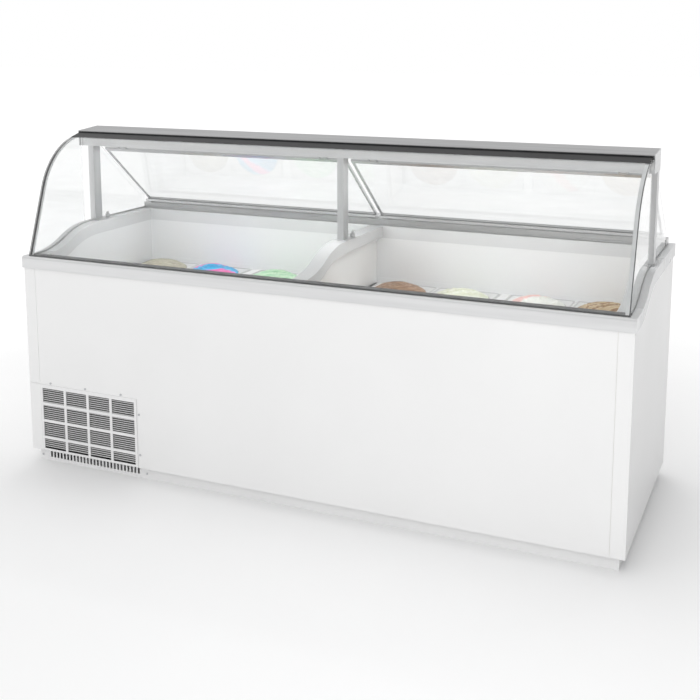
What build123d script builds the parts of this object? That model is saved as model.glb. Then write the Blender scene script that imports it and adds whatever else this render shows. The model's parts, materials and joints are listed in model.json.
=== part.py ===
from build123d import *

import os
from math import atan2, ceil, cos, degrees, radians, sin, tan

# Ice-cream dipping freezer: a long insulated chest with a curved glass front, two lids at the
# back that swing up under a canopy, and a refrigeration unit at its left end.
# Millimetres. X runs to the right seen from the customer's side, Y to the rear, Z up.
# The origin is on the floor, under the middle of the whole freezer.

# ---------------------------------------------------------------- driving sizes
WIDTH = 2245.0  # over the front rail
DEPTH = 840.0  # front rail to rear rail
HEIGHT = 1250.0  # floor to the canopy's rear edge
RAIL_TOP = 798.0  # top of the front rail
RAIL_FACE = 44.0  # height of the front rail's face and of the side bands
CAP_TOP = 872.0  # top of the side walls behind the sweep
SHEET = 1.2  # outer steel sheet
RAIL_STANDS = 5.0  # rails stand this far outside the panels
TRIM_T = 3.0  # cap thickness
RAIL_T = 2.5  # wall of the aluminium sections
TOUCH = 0.3  # gap left where a loose piece meets its seat
RUNNING = 0.05  # radial play of a pin or shaft in its bore

HALF_W = WIDTH / 2
HALF_D = DEPTH / 2
SKIN_X = HALF_W - RAIL_STANDS
SKIN_Y = HALF_D - RAIL_STANDS
INSIDE_X = SKIN_X - SHEET
INSIDE_Y = SKIN_Y - SHEET

# Base
BASE_H = 50.0  # floor to the underside of the base pan
PANEL_LAP = 4.0  # panels hang this far below the pan
KICK_INSET = 20.0
KICK_T = 2.0
BASE_RAIL_W = 40.0
BASE_RAIL_COUNT = 4
BASE_RAIL_END_X = 1000.0  # outermost rail, from the middle
BASE_RAIL_LENGTH = 760.0
LEVELLER_R = 5.5
LEVELLER_Y = 350.0  # leveller holes, from the middle

# Tank
LINER = 1.0
TANK_SIDE = 62.5  # side wall thickness, skin to tank
TANK_FRONT_WALL = 50.0
TANK_REAR_WALL = 85.0
TANK_FLOOR = 105.0
STEP_FLOOR = 366.0  # tank floor over the machine compartment
STEP_FOAM = 55.0
STEP_X = -545.0  # tank wall beside the machine compartment
COIL_GAP = 12.0  # space for the evaporator between tank and foam
BREAKER_T = 2.0
BREAKER_H = 48.0

TANK_X = SKIN_X - TANK_SIDE
TANK_FRONT = -SKIN_Y + TANK_FRONT_WALL
TANK_REAR = SKIN_Y - TANK_REAR_WALL
MACHINE_TOP = STEP_FLOOR - LINER - STEP_FOAM
MACHINE_RIGHT = STEP_X - LINER - STEP_FOAM
PAN_TOP = BASE_H + SHEET

# Sweep of the side walls, two equal arcs from the rail up to the cap
SWEEP_FRONT = -355.0
SWEEP_BACK = -45.0
SWEEP_RISE = CAP_TOP - RAIL_TOP
SWEEP_TURN = degrees(2 * atan2(SWEEP_RISE, SWEEP_BACK - SWEEP_FRONT))
SWEEP_R = (SWEEP_BACK - SWEEP_FRONT) / (2 * sin(radians(SWEEP_TURN)))

# Front and rear rails
RAIL_DEEP = 53.0  # front rail, front to back
RAIL_EDGE_R = 10.0
RAIL_BACK = -HALF_D + RAIL_DEEP
PANEL_TUCK = 6.0  # panels reach this far up behind the rail
RAISED_H = 24.0  # raised part of the rear rail
RAISED_FRONT = 10.0  # raised part, behind the tank's edge
RAISED_REAR = 18.0  # raised part, from the rear edge
RAISED_HALF_X = 1100.0
RAISED_TOP = CAP_TOP + RAISED_H

# Centre bridge and partition
BRIDGE_HALF = 27.0
BRIDGE_DROP = 44.0
PARTITION_T = 4.0

# Tubs, collars and shelves
TUB_R = 119.0
TUB_WALL = 2.0
TUB_RIM = 2.0
TUB_RIM_H = 6.0
TUB_H = 270.0
TUB_PITCH_X = 248.0
TUB_PITCH_Y = 330.0
TUB_REAR_Y = 200.0
COLLAR_W = 494.0
COLLAR_X = 266.0  # first collar's middle
COLLAR_STEP = 532.0  # from one collar's middle to the next
COLLAR_T = 2.0
STRIP_PLAY = 3.0  # collar to the strip between two collars
COLLAR_LAP = 12.0  # collar over the tub, all round its hole
COLLAR_HOLE_R = TUB_R - COLLAR_LAP
COLLAR_EDGE = 14.0  # collar to the tank's front and rear wall
SHELF_T = 2.0
SHELF_GAP = 4.0
SHELF_COUNT = 4
LEDGE_T = 1.5
LEDGE_W = 20.0
LEDGE_UP = 18.0
SHELF_TOP = STEP_FLOOR + 6.0
COLLAR_SEAT = SHELF_TOP + TUB_H + 4.0
CREAM_GAP = 2.5  # ice cream to the edge of the collar's hole
CREAM_R = COLLAR_HOLE_R - CREAM_GAP
CREAM_PROUD = 6.0
SLOT_COLUMNS = 6
SLOT_ROWS = 9
SLOT_SHARE = (0.7, 0.4)  # of a slot's cell, across and front to back

# Canopy, posts and glass
CANOPY_HALF = 1104.0
CANOPY_T = 2.5
CANOPY_FRONT = -79.0
CANOPY_REAR = 43.0
CANOPY_SLOPE = 10.0  # rise of the top sheet from front to rear
CANOPY_DROP = 66.0  # rear lip
BEAM_FRONT = -71.0
BEAM_T = 3.0
BEAM_BOTTOM = 1180.0
END_CAP_T = 3.0
POST_W = 24.0
POST_FRONT = -18.0
POST_DEEP = 44.0
POST_X = 1095.0
POST_WALL = 2.5
FOOT_T = 3.0
FOOT_HALF = 16.0
FOOT_FRONT = 6.0
FOOT_REAR = 46.0
KNOB_R = 9.0
KNOB_H = 14.0
KNOB_BACK = 30.0  # knob behind the post
KNOB_IN = 16.0  # knob inboard of the post's middle
WING = (3.0, 12.0, 8.0)

GLASS_T = 6.0
GLASS_HALF = 1100.0
GLASS_LEAN = 70.7
GLASS_TOP_SLOPE = 15.0
GLASS_BEND_R = 270.0
GLASS_LOWER_RUN = 264.0
GLASS_UPPER_RUN = 60.0
GLASS_FOOT_Y = -407.0
STRIP_T = 5.0  # black seal strips
STRIP_W = 14.0
STRIP_CLEAR = 1.0  # seal strip's upper end, in front of the canopy
SEAL_H = 5.0
END_GLASS_IN = 1092.0
END_GLASS_OUT = 1098.0
SEAL_OVER = 1.0  # seal wider than the end glass on each side
CHANNEL_H = 3.0
CHANNEL_BACK = 2.0
GASKET_H = 13.0

# Lids
HINGE_Y = 50.0
HINGE_Z = 1168.0
LID_FOOT_Y = 361.5
LID_FOOT_Z = 909.2
LID_IN = 9.0
LID_OUT = 1080.0
LID_T = 5.0
LID_EDGE_W = 8.0
LID_EDGE_T = 9.0
LID_START = 9.0  # first metal of the lid, from the pin's axis
LID_PANE_START = 14.0
HANDLE_FRONT = 330.0
HANDLE_REAR = 392.0
HANDLE_H = 8.0
BUMPER_H = 7.0
BUMPER_R = 7.0
BUMPER_X = (36.0, 1068.0)
BUMPER_Y = 365.0
SOCKET_LAP = 14.0
PIN_R = 3.0
EAR_T = 4.0
EAR_R = 7.0
EAR_GAP = 24.0
KNUCKLE_W = 20.0
KNUCKLE_R = 6.0
KNUCKLE_LAP = 1.0  # knuckle's tail, into the lid's top bar
HINGE_INSET = 90.0  # hinge to the lid's side edge
LID_ANGLE = degrees(atan2(HINGE_Z - LID_FOOT_Z, LID_FOOT_Y - HINGE_Y))
LID_LENGTH = (LID_FOOT_Y - HINGE_Y) / cos(radians(LID_ANGLE))

# Grille in the front panel
GRILLE_X = (-1067.0, -634.0)
GRILLE_Z = (50.0, 308.0)
GRILLE_BORDER = 10.0
GRILLE_T = 3.0
GRILLE_COLUMNS = 4
GRILLE_CELL_H = 56.0
GRILLE_BAR = 10.5
GRILLE_LAP = 5.0  # grille laps the panel's window
LOUVRE_PITCH = 8.0
LOUVRE_T = 1.2
LOUVRE_W = 9.0
LOUVRE_LEAN = 35.0
KICK_SLOT = (9.0, 27.0)
KICK_SLOT_PITCH = 15.3
KICK_SLOT_COUNT = 27
KICK_SLOT_X = -847.0
KICK_SLOT_Z = 26.0
SCREW_HEAD_R = 4.0
SCREW_HEAD_H = 2.2
SCREW_R = 2.0
SCREW_LENGTH = 8.0
PANEL_SCREWS = [(-1020, 315), (-861, 315), (-702, 315), (-625, 250), (-625, 96)]
KICK_SCREWS = [(-1086, 19), (-612, 19)]

# Front panel and corner strips
CORNER_W = 48.0
SEAM = 1.0
CORNER_SEAM_Z = 309.0

# Refrigeration unit
COIL_R = 4.75
COIL_PASSES = 5
COIL_Z = 400.0
COIL_PITCH = 50.0
COIL_HALF = 1000.0
COIL_BEND = 24.0
FAN_X = -870.0
FAN_Z = 175.0
FAN_R = 98.0
FAN_TIP_GAP = 4.0
FAN_BLADES = 5
BLADE_TWIST = 22.0
HUB_R = 18.0
HUB_Y = (-322.0, -304.0)
SHAFT_R = 4.0
SHAFT_END = 1.0  # bore beyond the shaft's end
MOTOR_R = 35.0
MOTOR_Y = (-300.0, -255.0)
CONDENSER_X = (-1040.0, -700.0)
CONDENSER_Y = (-390.0, -345.0)
CONDENSER_TOP = 298.0
CONDENSER_END = 3.0
FIN_T = 0.8
FIN_COUNT = 42
TUBE_R = 4.0
TUBE_ROWS = 5
SHROUD_Y = -336.0
SHROUD_T = 2.0
SHROUD_RIM = 4.0
COMPRESSOR_Y = 30.0
COMPRESSOR_R = 80.0
COMPRESSOR_H = 150.0
COMPRESSOR_PLATE = 20.0  # base plate, beyond the can
LINE_R = 4.0
LINE_BEND = 12.0
DRIER_R = 13.0
DRIER_LENGTH = 90.0
DRIER_Y = -205.0
DRAIN_R = 9.0
DRAIN_T = 3.0
DRAIN_FLANGE_R = 20.0
DRAIN_BOTTOM = 15.0

# Controls and cord entry in the rear panel
CONTROL_X = (-744.0, -636.0)
CONTROL_Z = (196.0, 294.0)
CONTROL_DEEP = 38.0
CONTROL_FACE = 14.0  # the face lies this far inside the panel
CONTROL_WALL = 3.0
DIAL_R = 16.0
DIAL_X = -714.0
DIAL_H = 14.0
DIAL_ROUND = 1.5
POINTER_CUT = 1.0  # pointer groove's depth and half width
DIAL_SHAFT_R = 3.0
SWITCH_X = -664.0
SWITCH_SIZE = (14.0, 22.0, 10.0)
SWITCH_TILT = 8.0
SWITCH_PLAY = 1.0
SWITCH_SWING = 2.0  # room over and under the rocker
SWITCH_PIVOT_R = 1.0
CONTROL_MID_Z = 245.0
VENT_X = (-1060.0, -780.0)
VENT_ROWS = 12
VENT_PITCH = 18.0
VENT_SLOT_H = 6.0
VENT_Z = 80.0
GLAND_X = -680.0
GLAND_Z = 110.0
GLAND_R = 10.0
GLAND_FLANGE_R = 15.0
GLAND_BORE_R = 5.5
GLAND_OUT = 4.5
GLAND_IN = 12.0

os.makedirs("parts", exist_ok=True)


# ---------------------------------------------------------------- helpers
def save(piece, label):
    piece.part.label = label
    export_step(piece.part, f"parts/{label}.step")


def block(xs, ys, zs, mode=Mode.ADD):
    """A straight-sided block between three pairs of limits, given in either order."""
    middle = (sum(xs) / 2, sum(ys) / 2, sum(zs) / 2)
    with Locations(middle):
        Box(abs(xs[1] - xs[0]), abs(ys[1] - ys[0]), abs(zs[1] - zs[0]), mode=mode)


def rod(place, radius, length, turn=(90, 0, 0), mode=Mode.ADD):
    """A round bar about its middle, along Y unless turned otherwise."""
    with Locations(place):
        Cylinder(radius, length, rotation=turn, mode=mode)


def lid_block(xs, ys, zs, mode=Mode.ADD):
    """A block in a closed lid's plane: X across, Y down the lid from its pin, Z out of it."""
    plane = Plane(
        origin=(0, HINGE_Y, HINGE_Z),
        x_dir=(1, 0, 0),
        z_dir=(0, sin(radians(LID_ANGLE)), cos(radians(LID_ANGLE))),
    )
    middle = Location((sum(xs) / 2, sum(ys) / 2, sum(zs) / 2))
    with Locations(plane.location * middle):
        Box(abs(xs[1] - xs[0]), abs(ys[1] - ys[0]), abs(zs[1] - zs[0]), mode=mode)


def wall_outline(x, front, back, drop, bottom):
    """Side view of a wall whose top is the sweep, lowered by drop."""
    with BuildSketch(Plane.YZ.offset(x)) as outline:
        with BuildLine():
            level = Line((front, RAIL_TOP - drop), (SWEEP_FRONT, RAIL_TOP - drop))
            rise = JernArc(level @ 1, (1, 0), SWEEP_R, SWEEP_TURN)
            ease = JernArc(rise @ 1, rise % 1, SWEEP_R, -SWEEP_TURN)
            Polyline(
                ease @ 1,
                (back, CAP_TOP - drop),
                (back, bottom),
                (front, bottom),
                (front, RAIL_TOP - drop),
            )
        make_face()
    return outline.sketch


def wall_band(x, front, back, drop, height):
    """The strip of that outline between drop and drop + height below the sweep."""
    low = TANK_FLOOR
    upper = wall_outline(x, front, back, drop, low)
    return upper - wall_outline(x, front, back, drop + height, low)


def behind_glass(x, inward, floor):
    """Side view of the space behind the curved glass, its face moved inward."""
    foot = (
        GLASS_FOOT_Y + inward * sin(radians(GLASS_LEAN)),
        RAIL_TOP - inward * cos(radians(GLASS_LEAN)),
    )
    with BuildSketch(Plane.YZ.offset(x)) as area:
        with BuildLine():
            lower = PolarLine(foot, GLASS_LOWER_RUN, GLASS_LEAN)
            turn = GLASS_TOP_SLOPE - GLASS_LEAN
            bend = JernArc(lower @ 1, lower % 1, GLASS_BEND_R - inward, turn)
            upper = PolarLine(bend @ 1, GLASS_UPPER_RUN, GLASS_TOP_SLOPE)
            end = upper @ 1
            Polyline(end, (end.X, floor), (foot[0], floor), foot)
        make_face()
    return area.sketch


def section(x, points):
    """A closed outline of straight runs, seen from the side."""
    with BuildSketch(Plane.YZ.offset(x)) as outline:
        with BuildLine():
            Polyline(*points, close=True)
        make_face()
    return outline.sketch


def tube_run(points, radius, bend):
    """A round tube through the given corners, each rounded by the bend radius."""
    with BuildPart() as tube:
        with BuildLine() as route:
            FilletPolyline(*points, radius=bend)
        with BuildSketch(Plane(origin=route.wire() @ 0, z_dir=route.wire() % 0)):
            Circle(radius)
        sweep(path=route.wire())
    return tube.part


COLLAR_MIDDLES = [
    -COLLAR_X - COLLAR_STEP,
    -COLLAR_X,
    COLLAR_X,
    COLLAR_X + COLLAR_STEP,
]
TUB_ROWS_Y = (TUB_REAR_Y - TUB_PITCH_Y, TUB_REAR_Y)
TUB_SPOTS = [
    (middle + side * TUB_PITCH_X / 2, y)
    for middle in COLLAR_MIDDLES
    for side in (-1, 1)
    for y in TUB_ROWS_Y
]

# ---------------------------------------------------------------- base
rail_step = 2 * BASE_RAIL_END_X / (BASE_RAIL_COUNT - 1)
rail_middles = [-BASE_RAIL_END_X + n * rail_step for n in range(BASE_RAIL_COUNT)]

with BuildPart() as base_rails:
    for middle in rail_middles:
        half = BASE_RAIL_W / 2
        ends = (-BASE_RAIL_LENGTH / 2, BASE_RAIL_LENGTH / 2)
        block((middle - half, middle + half), ends, (0, BASE_H))
        inner = half - RAIL_T
        block(
            (middle - inner, middle + inner),
            ends,
            (RAIL_T, BASE_H - RAIL_T),
            Mode.SUBTRACT,
        )
    for x in (-BASE_RAIL_END_X, BASE_RAIL_END_X):
        for y in (-LEVELLER_Y, LEVELLER_Y):
            rod((x, y, RAIL_T / 2), LEVELLER_R, 2 * RAIL_T, (0, 0, 0), Mode.SUBTRACT)
save(base_rails, "base_rails")

with BuildPart() as base_pan:
    block((-INSIDE_X, INSIDE_X), (-INSIDE_Y, INSIDE_Y), (BASE_H, PAN_TOP))
    drain_hole = DRAIN_R + DRAIN_T + TOUCH
    rod((0, 0, BASE_H), drain_hole, 4 * SHEET, (0, 0, 0), Mode.SUBTRACT)
save(base_pan, "base_pan")

kick_x = SKIN_X - KICK_INSET
kick_y = SKIN_Y - KICK_INSET
with BuildPart() as kick_plates:
    block((-kick_x, kick_x), (-kick_y, -kick_y + KICK_T), (0, BASE_H))
    block((-kick_x, kick_x), (kick_y - KICK_T, kick_y), (0, BASE_H))
    for side in (-1, 1):
        block(
            (side * (kick_x - KICK_T), side * kick_x),
            (-kick_y + KICK_T, kick_y - KICK_T),
            (0, BASE_H),
        )
    with Locations((KICK_SLOT_X, -kick_y, KICK_SLOT_Z)):
        with GridLocations(KICK_SLOT_PITCH, 1, KICK_SLOT_COUNT, 1):
            Box(KICK_SLOT[0], 3 * KICK_T, KICK_SLOT[1], mode=Mode.SUBTRACT)
    for x, z in KICK_SCREWS:
        rod((x, -kick_y, z), SCREW_R + TOUCH, 3 * KICK_T, mode=Mode.SUBTRACT)
save(kick_plates, "kick_plates")

# ---------------------------------------------------------------- outer panels
panel_bottom = BASE_H - PANEL_LAP
panel_top = RAIL_TOP - RAIL_FACE + PANEL_TUCK
panel_half = SKIN_X - CORNER_W - SEAM / 2
front_sheet = (-SKIN_Y, -SKIN_Y + SHEET)
window_x = (GRILLE_X[0] + GRILLE_LAP, GRILLE_X[1] - GRILLE_LAP)
window_z = (GRILLE_Z[0] + GRILLE_LAP, GRILLE_Z[1] - GRILLE_LAP)

with BuildPart() as front_panel:
    block((-panel_half, panel_half), front_sheet, (panel_bottom, panel_top))
    block(window_x, (-SKIN_Y - SHEET, -SKIN_Y + 2 * SHEET), window_z, Mode.SUBTRACT)
    for x, z in PANEL_SCREWS:
        rod((x, -SKIN_Y, z), SCREW_R + TOUCH, 4 * SHEET, mode=Mode.SUBTRACT)
save(front_panel, "front_panel")

with BuildPart() as corner_strips:
    strip_in = panel_half + SEAM
    upper = (CORNER_SEAM_Z + SEAM / 2, panel_top)
    lower = (panel_bottom, CORNER_SEAM_Z - SEAM / 2)
    block((-SKIN_X, -strip_in), front_sheet, upper)
    block((-SKIN_X, -strip_in), front_sheet, lower)
    block((strip_in, SKIN_X), front_sheet, (panel_bottom, panel_top))
save(corner_strips, "corner_strips")

for side, label in ((-1, "side_panel_left"), (1, "side_panel_right")):
    start = -SKIN_X if side < 0 else INSIDE_X
    swept = wall_outline(start, RAIL_BACK, INSIDE_Y, TRIM_T, panel_bottom)
    with BuildPart() as side_panel:
        extrude(swept, amount=SHEET)
        block(
            (start, start + SHEET),
            (-INSIDE_Y, RAIL_BACK),
            (panel_bottom, panel_top - PANEL_TUCK),
        )
    save(side_panel, label)

with BuildPart() as rear_panel:
    block((-SKIN_X, SKIN_X), (INSIDE_Y, SKIN_Y), (panel_bottom, CAP_TOP - TRIM_T))
    across = (INSIDE_Y - SHEET, SKIN_Y + SHEET)
    for row in range(VENT_ROWS):
        low = VENT_Z + row * VENT_PITCH
        block(VENT_X, across, (low, low + VENT_SLOT_H), Mode.SUBTRACT)
    face_x = (CONTROL_X[0] + CONTROL_WALL, CONTROL_X[1] - CONTROL_WALL)
    face_z = (CONTROL_Z[0] + CONTROL_WALL, CONTROL_Z[1] - CONTROL_WALL)
    block(face_x, across, face_z, Mode.SUBTRACT)
    rod((GLAND_X, SKIN_Y, GLAND_Z), GLAND_R + TOUCH, 4 * SHEET, mode=Mode.SUBTRACT)
save(rear_panel, "rear_panel")

# ---------------------------------------------------------------- grille and screws
louvre_x = (GRILLE_X[0] + GRILLE_BORDER, GRILLE_X[1] - GRILLE_BORDER)
louvre_z = (GRILLE_Z[0] + GRILLE_BORDER - PANEL_LAP, GRILLE_Z[1] - GRILLE_BORDER - PANEL_LAP)
grille_face = (-SKIN_Y - GRILLE_T, -SKIN_Y)
cell_pitch = GRILLE_CELL_H + GRILLE_BAR
column_pitch = (louvre_x[1] - louvre_x[0]) / GRILLE_COLUMNS
bar_rows = ceil((louvre_z[1] - louvre_z[0]) / cell_pitch)
louvre_count = int((louvre_z[1] - louvre_z[0]) / LOUVRE_PITCH)

with BuildPart() as front_grille:
    block(GRILLE_X, grille_face, GRILLE_Z)
    block(louvre_x, (-SKIN_Y - 2 * GRILLE_T, -SKIN_Y + GRILLE_T), louvre_z, Mode.SUBTRACT)
    for column in range(1, GRILLE_COLUMNS):
        x = louvre_x[0] + column * column_pitch
        block((x - GRILLE_BAR / 2, x + GRILLE_BAR / 2), grille_face, louvre_z)
    for row in range(1, bar_rows):
        top = louvre_z[1] - row * cell_pitch + GRILLE_BAR
        block(louvre_x, grille_face, (top - GRILLE_BAR, top))
    for number in range(louvre_count):
        z = louvre_z[1] - (number + 0.5) * LOUVRE_PITCH
        y = -SKIN_Y + LOUVRE_W / 2 - GRILLE_T / 2
        with Locations(Location((sum(louvre_x) / 2, y, z), (LOUVRE_LEAN, 0, 0))):
            Box(louvre_x[1] - louvre_x[0], LOUVRE_W, LOUVRE_T)
save(front_grille, "front_grille")

with BuildPart() as cabinet_screws:
    for spots, face in ((PANEL_SCREWS, -SKIN_Y), (KICK_SCREWS, -kick_y)):
        for x, z in spots:
            rod((x, face - SCREW_HEAD_H / 2, z), SCREW_HEAD_R, SCREW_HEAD_H)
            rod((x, face + SCREW_LENGTH / 2, z), SCREW_R, SCREW_LENGTH)
save(cabinet_screws, "cabinet_screws")

# ---------------------------------------------------------------- tank and insulation
liner_x = TANK_X + LINER
liner_y = (TANK_FRONT - LINER, TANK_REAR + LINER)
tank_y = (TANK_FRONT, TANK_REAR)
foam_front = (-INSIDE_Y, liner_y[0] - COIL_GAP)
foam_rear = (liner_y[1] + COIL_GAP, INSIDE_Y)
foam_top_front = RAIL_TOP - RAIL_FACE - SEAM
foam_top = CAP_TOP - TRIM_T

with BuildPart() as insulation:
    inner_x = liner_x - TOUCH
    for ys, top in ((foam_front, foam_top_front), (foam_rear, foam_top)):
        block((-inner_x, inner_x), ys, (MACHINE_TOP, top))
        block((MACHINE_RIGHT, inner_x), ys, (PAN_TOP, MACHINE_TOP - TOUCH))
    for start, low in ((-INSIDE_X, MACHINE_TOP), (liner_x, PAN_TOP)):
        thick = INSIDE_X - liner_x
        extrude(wall_outline(start, RAIL_BACK, INSIDE_Y, TRIM_T, low), amount=thick)
        block((start, start + thick), (-INSIDE_Y, RAIL_BACK), (low, foam_top_front))
    step_wall = (MACHINE_RIGHT, STEP_X - LINER)
    block((step_wall[1] + TOUCH, inner_x), liner_y, (PAN_TOP, TANK_FLOOR - LINER))
    block(step_wall, liner_y, (PAN_TOP, STEP_FLOOR - LINER))
    block((-inner_x, step_wall[0] - TOUCH), liner_y, (MACHINE_TOP, STEP_FLOOR - LINER))
    for x, z in PANEL_SCREWS:
        rod((x, -SKIN_Y, z), SCREW_R + TOUCH, 3 * SCREW_LENGTH, mode=Mode.SUBTRACT)
    drain_span = 3 * (TANK_FLOOR - PAN_TOP)
    rod((0, 0, TANK_FLOOR), drain_hole, drain_span, (0, 0, 0), Mode.SUBTRACT)
save(insulation, "insulation")

shell = wall_outline(-liner_x, liner_y[0], liner_y[1], TRIM_T, STEP_FLOOR - LINER)
hollow = wall_outline(-TANK_X, TANK_FRONT, TANK_REAR, -TRIM_T, STEP_FLOOR)
with BuildPart() as inner_liner:
    extrude(shell, amount=2 * liner_x)
    block((STEP_X - LINER, liner_x), liner_y, (TANK_FLOOR - LINER, STEP_FLOOR))
    extrude(hollow, amount=2 * TANK_X, mode=Mode.SUBTRACT)
    block((STEP_X, TANK_X), tank_y, (TANK_FLOOR, STEP_FLOOR + LINER), Mode.SUBTRACT)
    rod((0, 0, TANK_FLOOR), DRAIN_R + DRAIN_T + TOUCH, 4 * LINER, (0, 0, 0), Mode.SUBTRACT)
save(inner_liner, "inner_liner")

with BuildPart() as drain_tube:
    rod((0, 0, TANK_FLOOR + LINER / 2), DRAIN_FLANGE_R, LINER, (0, 0, 0))
    length = TANK_FLOOR - DRAIN_BOTTOM
    rod((0, 0, DRAIN_BOTTOM + length / 2), DRAIN_R + DRAIN_T, length, (0, 0, 0))
    rod((0, 0, TANK_FLOOR / 2), DRAIN_R, 2 * TANK_FLOOR, (0, 0, 0), Mode.SUBTRACT)
save(drain_tube, "drain_tube")

# ---------------------------------------------------------------- trims, rails and bridge
breaker_in = TANK_X - BREAKER_T
breaker_front = TANK_FRONT + BREAKER_T
breaker_rear = TANK_REAR - BREAKER_T

with BuildPart() as breaker_trim:
    for start in (-TANK_X, breaker_in):
        band = wall_band(start, breaker_front, breaker_rear, 0, BREAKER_H)
        extrude(band, amount=BREAKER_T)
    block((-TANK_X, TANK_X), (TANK_FRONT, breaker_front), (RAIL_TOP - BREAKER_H, RAIL_TOP))
    block((-TANK_X, TANK_X), (breaker_rear, TANK_REAR), (CAP_TOP - BREAKER_H, CAP_TOP))
save(breaker_trim, "breaker_trim")

for side, label in ((-1, "side_cap_left"), (1, "side_cap_right")):
    inner_start = -HALF_W if side < 0 else TANK_X
    outer_start = -HALF_W if side < 0 else SKIN_X
    with BuildPart() as side_cap:
        top = wall_band(inner_start, RAIL_BACK, HALF_D, 0, TRIM_T)
        extrude(top, amount=HALF_W - TANK_X)
        face = wall_band(outer_start, RAIL_BACK, HALF_D, 0, RAIL_FACE)
        extrude(face, amount=RAIL_STANDS)
        block((side * TANK_X, side * HALF_W), (SKIN_Y, HALF_D), (CAP_TOP - RAIL_FACE, CAP_TOP))
    save(side_cap, label)

rail_bottom = RAIL_TOP - RAIL_FACE
with BuildPart() as front_rail:
    block((-HALF_W, HALF_W), (-HALF_D, RAIL_BACK), (rail_bottom, RAIL_TOP))
    top_edge = front_rail.edges().filter_by(Axis.X).group_by(Axis.Z)[-1].sort_by(Axis.Y)[0]
    fillet(top_edge, RAIL_EDGE_R)
    block(
        (-HALF_W + RAIL_T, HALF_W - RAIL_T),
        (-HALF_D + RAIL_T, RAIL_BACK - RAIL_T),
        (rail_bottom - RAIL_T, RAIL_TOP - RAIL_EDGE_R),
        Mode.SUBTRACT,
    )
save(front_rail, "front_rail")

raised_y = (TANK_REAR + RAISED_FRONT, HALF_D - RAISED_REAR)
with BuildPart() as rear_rail:
    block((-TANK_X, TANK_X), (TANK_REAR, HALF_D), (CAP_TOP - TRIM_T, CAP_TOP))
    block((-TANK_X, TANK_X), (SKIN_Y, HALF_D), (CAP_TOP - RAIL_FACE, CAP_TOP))
    block((-RAISED_HALF_X, RAISED_HALF_X), raised_y, (CAP_TOP, RAISED_TOP))
    block(
        (-RAISED_HALF_X + RAIL_T, RAISED_HALF_X - RAIL_T),
        (raised_y[0] + RAIL_T, raised_y[1] - RAIL_T),
        (CAP_TOP, RAISED_TOP - RAIL_T),
        Mode.SUBTRACT,
    )
save(rear_rail, "rear_rail")

bridge_y = (breaker_front, breaker_rear)
with BuildPart() as centre_bridge:
    outer = wall_band(-BRIDGE_HALF, *bridge_y, 0, BRIDGE_DROP)
    extrude(outer, amount=2 * BRIDGE_HALF)
    inner_half = BRIDGE_HALF - RAIL_T
    inner = wall_outline(-inner_half, *bridge_y, RAIL_T, TANK_FLOOR)
    extrude(inner, amount=2 * inner_half, mode=Mode.SUBTRACT)
save(centre_bridge, "centre_bridge")

with BuildPart() as centre_partition:
    sheet = wall_outline(-PARTITION_T / 2, *bridge_y, RAIL_T, COLLAR_SEAT)
    extrude(sheet, amount=PARTITION_T)
    for y in (TANK_FRONT, TANK_REAR - LEDGE_T):
        ledge_top = COLLAR_SEAT + LEDGE_UP + TOUCH
        notch_y = (y - TOUCH, y + LEDGE_T + TOUCH)
        block((-PARTITION_T, PARTITION_T), notch_y, (0, ledge_top), Mode.SUBTRACT)
    # strips that lie on the ledges between neighbouring collars
    strip_half = (COLLAR_STEP - COLLAR_W) / 2 - STRIP_PLAY
    strip_y = (TANK_FRONT + LEDGE_T + TOUCH, TANK_REAR - LEDGE_T - TOUCH)
    for x in (-COLLAR_X - COLLAR_STEP / 2, COLLAR_X + COLLAR_STEP / 2):
        strip_x = (x - strip_half, x + strip_half)
        block(strip_x, strip_y, (COLLAR_SEAT, COLLAR_SEAT + COLLAR_T))
save(centre_partition, "centre_partition")


def ledges(seat):
    """An angle along the tank's front wall and another along its rear wall, tops at seat."""
    for wall, inward in ((TANK_FRONT, 1), (TANK_REAR, -1)):
        upright = (wall, wall + inward * LEDGE_T)
        block((-breaker_in, breaker_in), upright, (seat - LEDGE_T, seat + LEDGE_UP))
        shelf = (wall, wall + inward * LEDGE_W)
        block((-breaker_in, breaker_in), shelf, (seat - LEDGE_T, seat))


with BuildPart() as tank_ledges:
    ledges(COLLAR_SEAT)
    ledges(SHELF_TOP - SHELF_T)
save(tank_ledges, "tank_ledges")

# ---------------------------------------------------------------- collars, shelves and tubs
collar_y = (TANK_FRONT + COLLAR_EDGE, TANK_REAR - COLLAR_EDGE)
for number, middle in enumerate(COLLAR_MIDDLES, 1):
    with BuildPart() as tub_collar:
        block(
            (middle - COLLAR_W / 2, middle + COLLAR_W / 2),
            collar_y,
            (COLLAR_SEAT, COLLAR_SEAT + COLLAR_T),
        )
        for side in (-1, 1):
            for y in TUB_ROWS_Y:
                spot = (middle + side * TUB_PITCH_X / 2, y, COLLAR_SEAT)
                rod(spot, COLLAR_HOLE_R, 6 * COLLAR_T, (0, 0, 0), Mode.SUBTRACT)
    save(tub_collar, f"tub_collar_{number}")

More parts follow.
